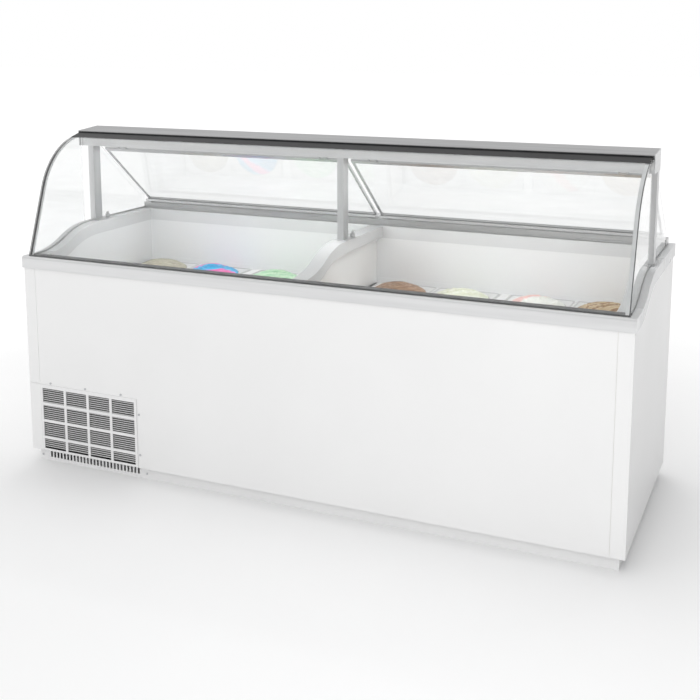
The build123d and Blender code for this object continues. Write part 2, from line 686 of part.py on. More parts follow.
shelf_y = (TANK_FRONT + LEDGE_T + TOUCH, TANK_REAR - LEDGE_T - TOUCH)
shelf_width = (2 * TANK_X - (SHELF_COUNT + 1) * SHELF_GAP) / SHELF_COUNT
with BuildPart() as tub_shelves:
    for number in range(SHELF_COUNT):
        left = -TANK_X + SHELF_GAP + number * (shelf_width + SHELF_GAP)
        block((left, left + shelf_width), shelf_y, (SHELF_TOP - SHELF_T, SHELF_TOP))
        step_x = shelf_width / SLOT_COLUMNS
        step_y = (shelf_y[1] - shelf_y[0]) / SLOT_ROWS
        with Locations((left + shelf_width / 2, sum(shelf_y) / 2, SHELF_TOP)):
            with GridLocations(step_x, step_y, SLOT_COLUMNS, SLOT_ROWS):
                Box(
                    SLOT_SHARE[0] * step_x,
                    SLOT_SHARE[1] * step_y,
                    4 * SHELF_T,
                    mode=Mode.SUBTRACT,
                )
save(tub_shelves, "tub_shelves")

tub_top = SHELF_TOP + TUB_H
with BuildPart() as ice_cream_tubs:
    for x, y in TUB_SPOTS:
        rod((x, y, SHELF_TOP + TUB_H / 2), TUB_R, TUB_H, (0, 0, 0))
        rod((x, y, tub_top - TUB_RIM_H / 2), TUB_R + TUB_RIM, TUB_RIM_H, (0, 0, 0))
        inside = (x, y, SHELF_TOP + TUB_WALL + TUB_H / 2)
        rod(inside, TUB_R - TUB_WALL, TUB_H, (0, 0, 0), Mode.SUBTRACT)
save(ice_cream_tubs, "ice_cream_tubs")

with BuildPart() as ice_cream:
    bottom = SHELF_TOP + TUB_WALL
    level = tub_top - TUB_RIM_H
    crown = COLLAR_SEAT + CREAM_PROUD
    for x, y in TUB_SPOTS:
        rod((x, y, (bottom + level) / 2), TUB_R - TUB_WALL - TOUCH, level - bottom, (0, 0, 0))
        rod((x, y, (level + crown) / 2), CREAM_R, crown - level, (0, 0, 0))
save(ice_cream, "ice_cream")

# ---------------------------------------------------------------- posts and canopy
posts_x = (-POST_X, 0, POST_X)
foot_z = (CAP_TOP, CAP_TOP + FOOT_T)
knob_y = POST_FRONT + POST_DEEP + KNOB_BACK
knob_x = {-POST_X: -POST_X + KNOB_IN, 0: KNOB_IN, POST_X: POST_X - KNOB_IN}

with BuildPart() as posts:
    for x in posts_x:
        half = POST_W / 2
        ys = (POST_FRONT, POST_FRONT + POST_DEEP)
        zs = (foot_z[1], BEAM_BOTTOM)
        block((x - half, x + half), ys, zs)
        block(
            (x - half + POST_WALL, x + half - POST_WALL),
            (ys[0] + POST_WALL, ys[1] - POST_WALL),
            zs,
            Mode.SUBTRACT,
        )
save(posts, "posts")

with BuildPart() as post_feet:
    for x in posts_x:
        inboard = knob_x[x]
        xs = (min(x, inboard) - FOOT_HALF, max(x, inboard) + FOOT_HALF)
        block(xs, (POST_FRONT - FOOT_FRONT, POST_FRONT + POST_DEEP + FOOT_REAR), foot_z)
save(post_feet, "post_feet")

for x, label in ((-POST_X, "left"), (0, "centre"), (POST_X, "right")):
    with BuildPart() as post_knob:
        base = foot_z[1] + TOUCH
        rod((knob_x[x], knob_y, base + KNOB_H / 2), KNOB_R, KNOB_H, (0, 0, 0))
        fillet(post_knob.edges().group_by(Axis.Z)[-1], KNOB_R / 4)
        with Locations((knob_x[x], knob_y, base + KNOB_H + WING[2] / 2)):
            Box(*WING)
    save(post_knob, f"post_knob_{label}")


def sheet_under(y):
    """Underside of the canopy's top sheet at a given depth."""
    rise = CANOPY_SLOPE / (CANOPY_REAR - CANOPY_FRONT)
    return HEIGHT - CANOPY_SLOPE - CANOPY_T + rise * (y - CANOPY_FRONT)


sheet_rear = CANOPY_REAR - CANOPY_T
with BuildPart() as canopy_top:
    outline = section(
        -CANOPY_HALF,
        [
            (CANOPY_FRONT, HEIGHT - CANOPY_SLOPE),
            (CANOPY_REAR, HEIGHT),
            (CANOPY_REAR, HEIGHT - CANOPY_DROP),
            (sheet_rear, HEIGHT - CANOPY_DROP),
            (sheet_rear, sheet_under(sheet_rear)),
            (CANOPY_FRONT, sheet_under(CANOPY_FRONT)),
        ],
    )
    extrude(outline, amount=2 * CANOPY_HALF)
save(canopy_top, "canopy_top")

with BuildPart() as canopy_beam:
    front, rear = BEAM_FRONT, sheet_rear
    outline = section(
        -CANOPY_HALF,
        [
            (front, BEAM_BOTTOM),
            (front, sheet_under(front)),
            (rear, sheet_under(rear)),
            (rear, BEAM_BOTTOM),
        ],
    )
    extrude(outline, amount=2 * CANOPY_HALF)
    hollow = section(
        -CANOPY_HALF,
        [
            (front + BEAM_T, BEAM_BOTTOM + BEAM_T),
            (front + BEAM_T, sheet_under(front) - BEAM_T),
            (rear - BEAM_T, sheet_under(rear) - BEAM_T),
            (rear - BEAM_T, BEAM_BOTTOM + BEAM_T),
        ],
    )
    extrude(hollow, amount=2 * CANOPY_HALF, mode=Mode.SUBTRACT)
save(canopy_beam, "canopy_beam")

with BuildPart() as canopy_end_caps:
    for start in (-CANOPY_HALF - END_CAP_T, CANOPY_HALF):
        outline = section(
            start,
            [
                (CANOPY_FRONT, BEAM_BOTTOM),
                (CANOPY_FRONT, HEIGHT - CANOPY_SLOPE),
                (CANOPY_REAR, HEIGHT),
                (CANOPY_REAR, BEAM_BOTTOM),
            ],
        )
        extrude(outline, amount=END_CAP_T)
save(canopy_end_caps, "canopy_end_caps")

# ---------------------------------------------------------------- glass and seals
with BuildPart() as front_glass:
    outside = behind_glass(-GLASS_HALF, 0, RAIL_TOP - GLASS_T)
    inside = behind_glass(-GLASS_HALF, GLASS_T, RAIL_TOP - 2 * GLASS_T)
    extrude(outside, amount=2 * GLASS_HALF)
    extrude(inside, amount=2 * GLASS_HALF, mode=Mode.SUBTRACT)
    block((-HALF_W, HALF_W), (-HALF_D, 0), (0, RAIL_TOP), Mode.SUBTRACT)
save(front_glass, "front_glass")

glass_end_y = front_glass.part.bounding_box().max.Y
strip_in = GLASS_T + TOUCH
with BuildPart() as glass_edge_strips:
    for start in (-END_GLASS_OUT - SEAL_OVER, END_GLASS_OUT + SEAL_OVER - STRIP_W):
        outer_face = behind_glass(start, strip_in, TANK_FLOOR)
        inner_face = behind_glass(start, strip_in + STRIP_T, TANK_FLOOR)
        extrude(outer_face - inner_face, amount=STRIP_W)
    block((-HALF_W, HALF_W), (-HALF_D, 0), (-HEIGHT, RAIL_TOP + CHANNEL_H), Mode.SUBTRACT)
    under_canopy = (CANOPY_FRONT - STRIP_CLEAR, CANOPY_REAR)
    block((-HALF_W, HALF_W), under_canopy, (HEIGHT - 2 * GASKET_H, HEIGHT), Mode.SUBTRACT)
save(glass_edge_strips, "glass_edge_strips")

gasket_y = (glass_end_y + TOUCH, BEAM_FRONT)
gasket_top = sheet_under(CANOPY_FRONT)
foot_back = GLASS_FOOT_Y + (GLASS_T + TOUCH) / sin(radians(GLASS_LEAN))
with BuildPart() as glass_gaskets:
    block((-CANOPY_HALF, CANOPY_HALF), gasket_y, (gasket_top - GASKET_H, gasket_top))
    block(
        (-GLASS_HALF, GLASS_HALF),
        (foot_back + CHANNEL_H / tan(radians(GLASS_LEAN)), RAIL_BACK - CHANNEL_BACK),
        (RAIL_TOP, RAIL_TOP + CHANNEL_H),
    )
save(glass_gaskets, "glass_gaskets")

pane_in = strip_in + STRIP_T + TOUCH
post_rear = POST_FRONT + POST_DEEP
lid_fall = tan(radians(LID_ANGLE))
rear_end = raised_y[0] - BREAKER_T


def end_pane(start):
    """The front end pane, cut by the glass curve, the sweep, the post and the beam."""
    low = TANK_FLOOR
    beam_y = BEAM_FRONT - TOUCH
    beam_z = BEAM_BOTTOM - TOUCH
    post_y = POST_FRONT - TOUCH
    area = behind_glass(start, pane_in, low)
    area -= wall_outline(start, -HALF_D, HALF_D, -SEAL_H, low - SHEET)
    beam = [(beam_y, beam_z), (beam_y, HEIGHT), (HALF_D, HEIGHT), (HALF_D, beam_z)]
    area -= section(start, beam)
    keep = [
        (-HALF_D, low),
        (post_y, low),
        (post_y, beam_z),
        (beam_y, beam_z),
        (beam_y, gasket_top - 2 * GASKET_H),
        (-HALF_D, HEIGHT),
    ]
    return area & section(start, keep)


with BuildPart() as end_glasses:
    for start in (-END_GLASS_OUT, END_GLASS_IN):
        extrude(end_pane(start), amount=END_GLASS_OUT - END_GLASS_IN)
        pane_top = BEAM_BOTTOM - TOUCH
        line_y = HINGE_Y - (pane_top - HINGE_Z) / lid_fall
        low = CAP_TOP + SEAL_H
        rear_pane = section(
            start,
            [
                (post_rear + TOUCH, low),
                (rear_end, low),
                (rear_end, HINGE_Z - (rear_end - HINGE_Y) * lid_fall),
                (line_y, pane_top),
                (post_rear + TOUCH, pane_top),
            ],
        )
        extrude(rear_pane, amount=END_GLASS_OUT - END_GLASS_IN)
save(end_glasses, "end_glasses")

with BuildPart() as end_seals:
    for start in (-END_GLASS_OUT - SEAL_OVER, END_GLASS_IN - SEAL_OVER):
        wide = END_GLASS_OUT - END_GLASS_IN + 2 * SEAL_OVER
        strip = wall_band(start, RAIL_BACK, POST_FRONT - FOOT_FRONT - TOUCH, -SEAL_H, SEAL_H)
        extrude(strip, amount=wide)
        rear_start = post_rear + FOOT_REAR + TOUCH
        block((start, start + wide), (rear_start, rear_end), (CAP_TOP, CAP_TOP + SEAL_H))
save(end_seals, "end_seals")

# ---------------------------------------------------------------- lids
handle_bottom = RAISED_TOP + BUMPER_H + TOUCH
socket_t = LID_EDGE_T + RAIL_T
for side, label in ((-1, "left"), (1, "right")):
    xs = sorted((side * LID_IN, side * LID_OUT))
    hinges = [xs[0] + HINGE_INSET, xs[1] - HINGE_INSET]
    with BuildPart() as lid_pane:
        lid_block(
            (xs[0] + LID_EDGE_W / 2, xs[1] - LID_EDGE_W / 2),
            (LID_PANE_START, LID_LENGTH),
            (-LID_T / 2, LID_T / 2),
        )
        cut_z = (0, handle_bottom + HANDLE_H)
        block(xs, (HANDLE_FRONT, HALF_D), cut_z, Mode.SUBTRACT)
    save(lid_pane, f"lid_{label}_pane")

    with BuildPart() as lid_frame:
        thick = (-LID_EDGE_T / 2, LID_EDGE_T / 2)
        lid_block(xs, (LID_START, LID_START + 2 * LID_EDGE_W), thick)
        for edge, inward in ((xs[0], 1), (xs[1], -1)):
            lid_block((edge, edge + inward * LID_EDGE_W), (LID_START, LID_LENGTH - SOCKET_LAP), thick)
        for x in hinges:
            half = KNUCKLE_W / 2
            lid_block((x - half, x + half), (0, LID_START + KNUCKLE_LAP), (-PIN_R, PIN_R))
            rod((x, HINGE_Y, HINGE_Z), KNUCKLE_R, KNUCKLE_W, (0, 90, 0))
        for x in hinges:
            rod((x, HINGE_Y, HINGE_Z), PIN_R + RUNNING, 2 * KNUCKLE_W, (0, 90, 0), Mode.SUBTRACT)
        lid_block(
            (xs[0] + LID_EDGE_W / 2, xs[1] - LID_EDGE_W / 2),
            (LID_PANE_START, LID_LENGTH),
            (-LID_T / 2, LID_T / 2),
            Mode.SUBTRACT,
        )
    save(lid_frame, f"lid_{label}_frame")

    with BuildPart() as lid_handle:
        block(xs, (HANDLE_FRONT, HANDLE_REAR), (handle_bottom, handle_bottom + HANDLE_H))
        lid_block(
            xs,
            (LID_LENGTH - SOCKET_LAP, LID_LENGTH),
            (-socket_t / 2, socket_t / 2),
        )
        block(xs, (0, HALF_D), (0, handle_bottom), Mode.SUBTRACT)
        cut_z = (-LID_T / 2, LID_T / 2)
        slot = (xs[0] + LID_EDGE_W / 2, xs[1] - LID_EDGE_W / 2)
        lid_block(slot, (LID_START, LID_LENGTH), cut_z, Mode.SUBTRACT)
        block(xs, (HANDLE_FRONT, HANDLE_REAR), (handle_bottom, handle_bottom + HANDLE_H))
    save(lid_handle, f"lid_{label}_handle")

with BuildPart() as hinge_brackets:
    for side in (-1, 1):
        xs = sorted((side * LID_IN, side * LID_OUT))
        for x in (xs[0] + HINGE_INSET, xs[1] - HINGE_INSET):
            for ear in (-1, 1):
                ear_start = x + ear * EAR_GAP / 2 + (0 if ear > 0 else -EAR_T)
                plate = section(
                    ear_start,
                    [
                        (HINGE_Y - 6 * EAR_R, BEAM_BOTTOM),
                        (sheet_rear, BEAM_BOTTOM),
                        (HINGE_Y, HINGE_Z + EAR_R),
                        (HINGE_Y, HINGE_Z - EAR_R),
                    ],
                )
                extrude(plate, amount=EAR_T)
                rod((ear_start + EAR_T / 2, HINGE_Y, HINGE_Z), EAR_R, EAR_T, (0, 90, 0))
            rod((x, HINGE_Y, HINGE_Z), PIN_R, EAR_GAP + 2 * EAR_T, (0, 90, 0))
save(hinge_brackets, "hinge_brackets")

with BuildPart() as lid_bumpers:
    for x in (-BUMPER_X[1], -BUMPER_X[0], *BUMPER_X):
        rod((x, BUMPER_Y, RAISED_TOP + BUMPER_H / 2), BUMPER_R, BUMPER_H, (0, 0, 0))
save(lid_bumpers, "lid_bumpers")

# ---------------------------------------------------------------- refrigeration unit
coil_reach = liner_y[1] + TOUCH + COIL_R
coil_front = liner_y[0] - TOUCH - COIL_R
with BuildPart() as evaporator_coils:
    for y in (coil_front, coil_reach):
        corners = []
        for number in range(COIL_PASSES):
            z = COIL_Z + number * COIL_PITCH
            ends = (-COIL_HALF, COIL_HALF) if number % 2 == 0 else (COIL_HALF, -COIL_HALF)
            corners += [(end, y, z) for end in ends]
        add(tube_run(corners, COIL_R, COIL_BEND))
save(evaporator_coils, "evaporator_coils")

condenser_z = (PAN_TOP, CONDENSER_TOP)
with BuildPart() as condenser:
    for start in (CONDENSER_X[0], CONDENSER_X[1] - CONDENSER_END):
        block((start, start + CONDENSER_END), CONDENSER_Y, condenser_z)
    gap = (CONDENSER_X[1] - CONDENSER_X[0]) / (FIN_COUNT + 1)
    for number in range(1, FIN_COUNT + 1):
        x = CONDENSER_X[0] + number * gap
        block(
            (x - FIN_T / 2, x + FIN_T / 2),
            (CONDENSER_Y[0] + CONDENSER_END, CONDENSER_Y[1] - CONDENSER_END),
            (PAN_TOP + GRILLE_BORDER, CONDENSER_TOP - CONDENSER_END),
        )
    for row in range(TUBE_ROWS):
        z = PAN_TOP + (row + 0.5) * (CONDENSER_TOP - PAN_TOP) / TUBE_ROWS
        middle = (sum(CONDENSER_X) / 2, sum(CONDENSER_Y) / 2, z)
        rod(middle, TUBE_R, CONDENSER_X[1] - CONDENSER_X[0], (0, 90, 0))
save(condenser, "condenser")

with BuildPart() as fan_shroud:
    block(CONDENSER_X, (CONDENSER_Y[1], SHROUD_Y), condenser_z)
    block(
        (CONDENSER_X[0] + SHROUD_RIM, CONDENSER_X[1] - SHROUD_RIM),
        (CONDENSER_Y[1], SHROUD_Y - SHROUD_T),
        (PAN_TOP + SHROUD_RIM, CONDENSER_TOP - SHROUD_RIM),
        Mode.SUBTRACT,
    )
    ring_r = FAN_R + FAN_TIP_GAP
    ring_y = (SHROUD_Y - SHROUD_T, HUB_Y[1])
    ring_length = ring_y[1] - ring_y[0]
    rod((FAN_X, sum(ring_y) / 2, FAN_Z), ring_r + SHROUD_T, ring_length)
    rod((FAN_X, SHROUD_Y, FAN_Z), ring_r, 6 * ring_length, mode=Mode.SUBTRACT)
save(fan_shroud, "fan_shroud")

with BuildPart() as fan_motor:
    rod((FAN_X, sum(MOTOR_Y) / 2, FAN_Z), MOTOR_R, MOTOR_Y[1] - MOTOR_Y[0])
    shaft_y = (HUB_Y[0] + SHAFT_R, MOTOR_Y[0])
    rod((FAN_X, sum(shaft_y) / 2, FAN_Z), SHAFT_R, shaft_y[1] - shaft_y[0])
    arm = ring_r + SHROUD_T + 2 * SHROUD_RIM
    bar_y = (MOTOR_Y[0] + SHROUD_RIM, MOTOR_Y[0] + 2 * SHROUD_RIM)
    bar_z = (FAN_Z - HUB_R / 2, FAN_Z + HUB_R / 2)
    block((FAN_X - arm, FAN_X + arm), bar_y, bar_z)
    for side in (-1, 1):
        leg = sorted((FAN_X + side * arm, FAN_X + side * (arm - SHROUD_RIM)))
        block(leg, (SHROUD_Y, bar_y[1]), bar_z)
save(fan_motor, "fan_motor")

with BuildPart() as fan_blade:
    rod((FAN_X, sum(HUB_Y) / 2, FAN_Z), HUB_R, HUB_Y[1] - HUB_Y[0])
    blade_length = FAN_R - HUB_R + SHROUD_T
    for number in range(FAN_BLADES):
        spin = Location((FAN_X, sum(HUB_Y) / 2, FAN_Z), (0, number * 360 / FAN_BLADES, 0))
        out = Location((0, 0, HUB_R - SHROUD_T + blade_length / 2), (0, 0, BLADE_TWIST))
        with Locations(spin * out):
            Box(2 * HUB_R, SHROUD_T, blade_length)
    bore_y = (HUB_Y[0] + SHAFT_R - SHAFT_END, HUB_Y[1])
    bore_length = bore_y[1] - bore_y[0]
    bore = (FAN_X, sum(bore_y) / 2, FAN_Z)
    rod(bore, SHAFT_R + RUNNING, bore_length, mode=Mode.SUBTRACT)
save(fan_blade, "fan_blade")

with BuildPart() as compressor:
    plate = COMPRESSOR_R + COMPRESSOR_PLATE
    block(
        (FAN_X - plate, FAN_X + plate),
        (COMPRESSOR_Y - plate, COMPRESSOR_Y + plate),
        (PAN_TOP, PAN_TOP + TRIM_T),
    )
    can_bottom = PAN_TOP + TRIM_T
    with Locations((FAN_X, COMPRESSOR_Y, can_bottom + COMPRESSOR_H / 2)):
        Cylinder(COMPRESSOR_R, COMPRESSOR_H)
    fillet(compressor.edges().group_by(Axis.Z)[-1], COMPRESSOR_R / 2)
save(compressor, "compressor")

can_top = can_bottom + COMPRESSOR_H
line_z = can_top + 4 * LINE_BEND
condenser_mid = sum(CONDENSER_Y) / 2
with BuildPart() as refrigerant_lines:
    outlet_z = can_top + TOUCH
    outside_x = CONDENSER_X[0] - 2 * LINE_BEND
    corners = [
        (FAN_X, COMPRESSOR_Y, outlet_z),
        (FAN_X, COMPRESSOR_Y, line_z),
        (outside_x, COMPRESSOR_Y, line_z),
        (outside_x, condenser_mid, line_z),
        (CONDENSER_X[0] - TOUCH, condenser_mid, line_z),
    ]
    add(tube_run(corners, LINE_R, LINE_BEND))
    low_z = PAN_TOP + 3 * LINE_BEND
    right_x = CONDENSER_X[1] + 4 * LINE_BEND
    corners = [
        (CONDENSER_X[1] + TOUCH, condenser_mid, low_z),
        (right_x, condenser_mid, low_z),
        (right_x, COMPRESSOR_Y, low_z),
        (right_x, COMPRESSOR_Y, MACHINE_TOP - TOUCH),
    ]
    add(tube_run(corners, LINE_R, LINE_BEND))
    rod((right_x, DRIER_Y, low_z), DRIER_R, DRIER_LENGTH)
save(refrigerant_lines, "refrigerant_lines")

# ---------------------------------------------------------------- controls and cord entry
face_y = INSIDE_Y - CONTROL_FACE
with BuildPart() as control_box:
    block(CONTROL_X, (INSIDE_Y - CONTROL_DEEP, INSIDE_Y), CONTROL_Z)
    block(face_x, (face_y, INSIDE_Y), face_z, Mode.SUBTRACT)
    inner_back = face_y - CONTROL_WALL
    block(face_x, (INSIDE_Y - CONTROL_DEEP, inner_back), face_z, Mode.SUBTRACT)
    dial_spot = (DIAL_X, face_y, CONTROL_MID_Z)
    rod(dial_spot, DIAL_SHAFT_R + RUNNING, 4 * CONTROL_WALL, mode=Mode.SUBTRACT)
    switch_half = SWITCH_SIZE[1] / 2 + SWITCH_SWING
    block(
        (SWITCH_X - SWITCH_SIZE[0] / 2 - SWITCH_PLAY, SWITCH_X + SWITCH_SIZE[0] / 2 + SWITCH_PLAY),
        (inner_back - CONTROL_WALL, face_y + CONTROL_WALL),
        (CONTROL_MID_Z - switch_half, CONTROL_MID_Z + switch_half),
        Mode.SUBTRACT,
    )
    for side in (-1, 1):
        x = SWITCH_X + side * (SWITCH_SIZE[0] / 2 + SWITCH_PLAY / 2)
        pivot = (x, face_y - CONTROL_WALL / 2, CONTROL_MID_Z)
        rod(pivot, SWITCH_PIVOT_R, SWITCH_PLAY, (0, 90, 0))
save(control_box, "control_box")

with BuildPart() as thermostat_dial:
    grip_y = (face_y + TOUCH, face_y + TOUCH + DIAL_H)
    rod((DIAL_X, sum(grip_y) / 2, CONTROL_MID_Z), DIAL_R, DIAL_H)
    fillet(thermostat_dial.edges().group_by(Axis.Y)[-1], DIAL_ROUND)
    shaft = (inner_back - CONTROL_WALL, grip_y[0])
    rod((DIAL_X, sum(shaft) / 2, CONTROL_MID_Z), DIAL_SHAFT_R, shaft[1] - shaft[0])
    pointer_z = (CONTROL_MID_Z, CONTROL_MID_Z + DIAL_R)
    pointer_y = (grip_y[1] - POINTER_CUT, grip_y[1] + POINTER_CUT)
    block((DIAL_X - POINTER_CUT, DIAL_X + POINTER_CUT), pointer_y, pointer_z, Mode.SUBTRACT)
save(thermostat_dial, "thermostat_dial")

with BuildPart() as power_switch:
    pivot = (SWITCH_X, face_y - CONTROL_WALL / 2, CONTROL_MID_Z)
    with Locations(Location(pivot, (-SWITCH_TILT, 0, 0))):
        Box(SWITCH_SIZE[0], SWITCH_SIZE[2], SWITCH_SIZE[1])
save(power_switch, "power_switch")

with BuildPart() as cord_gland:
    inner_end = SKIN_Y - GLAND_IN
    outer_end = SKIN_Y + GLAND_OUT
    barrel = outer_end - inner_end
    rod((GLAND_X, (inner_end + outer_end) / 2, GLAND_Z), GLAND_R, barrel)
    rod((GLAND_X, SKIN_Y + GLAND_OUT / 2, GLAND_Z), GLAND_FLANGE_R, GLAND_OUT)
    rod((GLAND_X, SKIN_Y, GLAND_Z), GLAND_BORE_R, 3 * barrel, mode=Mode.SUBTRACT)
save(cord_gland, "cord_gland")
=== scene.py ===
import json
import math

import bmesh
import bpy
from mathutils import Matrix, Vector, noise


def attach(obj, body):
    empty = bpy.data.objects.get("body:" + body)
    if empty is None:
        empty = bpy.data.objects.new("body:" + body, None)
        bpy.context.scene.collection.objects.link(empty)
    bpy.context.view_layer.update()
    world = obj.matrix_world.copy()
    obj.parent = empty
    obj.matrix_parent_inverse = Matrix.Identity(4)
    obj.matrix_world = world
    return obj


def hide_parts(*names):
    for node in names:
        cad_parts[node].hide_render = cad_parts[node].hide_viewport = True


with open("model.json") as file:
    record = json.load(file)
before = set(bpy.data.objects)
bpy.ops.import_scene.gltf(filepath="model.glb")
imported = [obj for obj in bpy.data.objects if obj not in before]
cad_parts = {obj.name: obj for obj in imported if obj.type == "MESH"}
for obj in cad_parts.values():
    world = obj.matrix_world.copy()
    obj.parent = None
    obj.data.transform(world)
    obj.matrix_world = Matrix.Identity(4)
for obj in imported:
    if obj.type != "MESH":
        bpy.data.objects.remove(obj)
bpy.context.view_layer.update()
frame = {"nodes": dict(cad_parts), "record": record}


# ---------------------------------------------------------------- material helpers
class Paint:
    """A Principled material and the node steps that its surface detail is made of."""

    def __init__(self, name, metallic=0.0, **plain):
        self.mat = bpy.data.materials.new(name)
        self.mat.use_nodes = True
        self.tree = self.mat.node_tree
        self.shader = self.tree.nodes["Principled BSDF"]
        self.shader.inputs["Metallic"].default_value = metallic
        for key, value in plain.items():
            self.shader.inputs[key.replace("_", " ")].default_value = value
        self.place = self.tree.nodes.new("ShaderNodeTexCoord").outputs["Object"]
        self.normal = None

    def node(self, kind, **links):
        n = self.tree.nodes.new(kind)
        for key, value in links.items():
            self.set(n.inputs[key.replace("_", " ")], value)
        return n

    def set(self, socket, value):
        if isinstance(value, bpy.types.NodeSocket):
            self.tree.links.new(value, socket)
        else:
            socket.default_value = value

    def at(self, stretch, turn=(0, 0, 0)):
        n = self.node("ShaderNodeMapping", Vector=self.place, Scale=stretch, Rotation=turn)
        return n.outputs["Vector"]

    def noise(self, scale, detail=3.0, stretch=(1, 1, 1), distortion=0.0):
        where = self.at(stretch)
        n = self.node("ShaderNodeTexNoise", Vector=where, Scale=scale, Detail=detail, Distortion=distortion)
        return n.outputs["Fac"]

    def cells(self, scale, output="Distance"):
        n = self.node("ShaderNodeTexVoronoi", Vector=self.place, Scale=scale)
        return n.outputs[output]

    def wave(self, scale, distortion, detail, turn):
        where = self.at((1, 1, 1), turn)
        n = self.node("ShaderNodeTexWave", Vector=where, Scale=scale, Distortion=distortion, Detail=detail)
        return n.outputs["Fac"]

    def spread(self, fac, low, high, from_low=0.3, from_high=0.7):
        n = self.node("ShaderNodeMapRange", Value=fac)
        ends = {"From Min": from_low, "From Max": from_high, "To Min": low, "To Max": high}
        for key, value in ends.items():
            n.inputs[key].default_value = value
        return n.outputs["Result"]

    def ramp(self, fac, *stops):
        n = self.node("ShaderNodeValToRGB", Fac=fac)
        band = n.color_ramp
        while len(band.elements) < len(stops):
            band.elements.new(0.5)
        for element, (where, colour) in zip(band.elements, stops):
            element.position = where
            element.color = (*colour, 1)
        return n.outputs["Color"]

    def mix(self, fac, a, b, how="MIX"):
        n = self.tree.nodes.new("ShaderNodeMix")
        n.data_type = "RGBA"
        n.blend_type = how
        self.set(n.inputs[0], fac)
        for socket, value in ((n.inputs[6], a), (n.inputs[7], b)):
            self.set(socket, value if isinstance(value, bpy.types.NodeSocket) else (*value, 1))
        return n.outputs[2]

    def colour(self, value):
        self.set(self.shader.inputs["Base Color"], value)
        return self

    def rough(self, fac, low, high):
        self.set(self.shader.inputs["Roughness"], self.spread(fac, low, high))
        return self

    def bump(self, fac, distance, strength=1.0):
        n = self.node("ShaderNodeBump", Height=fac, Distance=distance, Strength=strength)
        if self.normal is not None:
            self.tree.links.new(self.normal, n.inputs["Normal"])
        self.normal = n.outputs["Normal"]
        self.set(self.shader.inputs["Normal"], self.normal)
        return self


def shades(base, by):
    """The colour a step darker and a step lighter."""
    return tuple(max(0.0, c - by) for c in base), tuple(min(1.0, c + by) for c in base)


def coated(name, base, low=0.28, high=0.34, by=0.012, peel=0.00002, **plain):
    """Stoved paint on sheet: fine orange peel, slow waviness, faint handling marks."""
    p = Paint(name, **plain)
    dark, light = shades(base, by)
    p.colour(p.ramp(p.noise(2.2, 3), (0.3, dark), (0.7, light)))
    p.rough(p.noise(2.6, 2), low, high)
    p.bump(p.noise(1.1, 0), 0.0008, 0.15)
    p.bump(p.noise(420, 1), peel, 0.06)
    return p.mat


def extruded(name, base, way, low=0.24, high=0.42, by=0.05):
    """Satin anodised aluminium with die lines along the extrusion."""
    p = Paint(name, metallic=1.0)
    thin = tuple(1.0 if axis == way else 90.0 for axis in "xyz")
    wide = tuple(0.6 if axis == way else 14.0 for axis in "xyz")
    dark, light = shades(base, by)
    lines = p.noise(9, 4, thin)
    p.colour(p.ramp(p.noise(3, 3, wide), (0.3, dark), (0.7, light)))
    p.rough(lines, low, high)
    p.bump(lines, 0.00004, 0.6)
    return p.mat


def moulded(name, base, low=0.38, high=0.55, by=0.02, grain=0.00008, scale=700, **plain):
    """Moulded plastic with a fine spark-eroded grain."""
    p = Paint(name, **plain)
    dark, light = shades(base, by)
    p.colour(p.ramp(p.noise(6, 4), (0.3, dark), (0.7, light)))
    p.rough(p.noise(40, 5), low, high)
    p.bump(p.noise(scale, 2), grain)
    return p.mat


def along(p, axis, low, high):
    """0 to 1 between two places along an axis of the part."""
    n = p.node("ShaderNodeSeparateXYZ", Vector=p.place)
    return p.spread(n.outputs[axis], 0.0, 1.0, low, high)


GRILLE_DEPTH = (-0.4155, -0.4125)  # from the bars' faces into the louvres, in Y, where the painted shade comes in
RIGHT_LIP = (1.0962, 1.0968)  # where the edge strips turn black, in X
# at the left end the black runs much further in than at the right: painted shade
LEFT_LIP_AND_PAINTED_SHADE = (-1.0882, -1.0888)


def grille_paint():
    """White paint on the bars and lips, and near-black painted shade further in, between the louvres."""
    p = Paint("grille_paint")
    # painted shade in the louvres: near black, with a little noise in it
    painted_shade = p.ramp(p.noise(60, 5), (0.3, (0.030, 0.030, 0.031)), (0.7, (0.075, 0.074, 0.072)))
    bright = p.ramp(p.noise(3, 3), (0.3, (0.79, 0.79, 0.79)), (0.7, (0.83, 0.83, 0.83)))
    p.colour(p.mix(along(p, "Y", *GRILLE_DEPTH), bright, painted_shade))
    p.rough(p.noise(240, 3), 0.3, 0.5)
    p.bump(p.noise(420, 2), 0.00003, 0.6)
    return p.mat


def edge_strip():
    """Satin strip along the glass edge with a black outer lip; at the left end the black reaches over most of
    the strip, as painted shade.
    """
    p = Paint("glass_edge_strip", metallic=0.35)
    grey = p.ramp(p.noise(30, 4), (0.3, (0.64, 0.645, 0.65)), (0.7, (0.72, 0.725, 0.73)))
    black = p.ramp(p.noise(50, 3), (0.3, (0.016, 0.016, 0.017)), (0.7, (0.028, 0.028, 0.029)))
    lip = p.mix(along(p, "X", *RIGHT_LIP), grey, black)
    p.colour(p.mix(along(p, "X", *LEFT_LIP_AND_PAINTED_SHADE), lip, black))
    p.rough(p.noise(120, 3), 0.32, 0.5)
    p.bump(p.noise(400, 2), 0.00003)
    return p.mat


def galvanised():
    """Hot-dip zinc with its spangle."""
    p = Paint("galvanised_steel", metallic=1.0)
    flakes = p.cells(70, "Color")
    grey = p.node("ShaderNodeRGBToBW", Color=flakes).outputs["Val"]
    p.colour(p.ramp(grey, (0.15, (0.46, 0.47, 0.48)), (0.85, (0.66, 0.67, 0.68))))
    p.rough(grey, 0.28, 0.5)
    p.bump(p.cells(70), 0.00005)
    return p.mat


